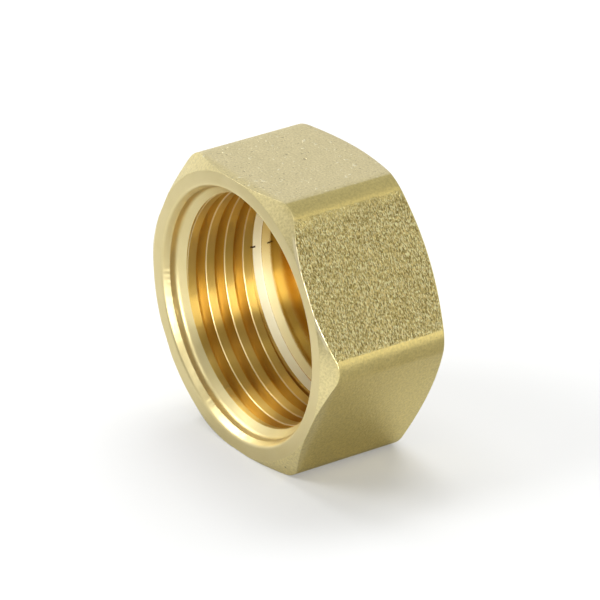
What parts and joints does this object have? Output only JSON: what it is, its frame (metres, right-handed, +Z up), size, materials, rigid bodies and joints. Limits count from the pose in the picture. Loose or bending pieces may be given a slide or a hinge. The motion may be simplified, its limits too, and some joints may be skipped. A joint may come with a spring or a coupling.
{
  "type": "threaded blanking cap",
  "caption": "Hexagonal brass blanking cap in one piece with a right-hand female pipe thread and a flat sealing floor.",
  "frame": {"origin": "on the ground under the middle of the cap, which lies on one flat of the hexagon", "axes": "+Z up, +Y along the thread axis into the cap so the mouth faces -Y, +X across the corners of the hexagon"},
  "size_m": [0.027, 0.012, 0.024],
  "materials": {
    "brass": "satin, machined inside"
  },
  "bodies": {
    "root": {"hex_cap": "brass"}
  },
  "joints": []
}
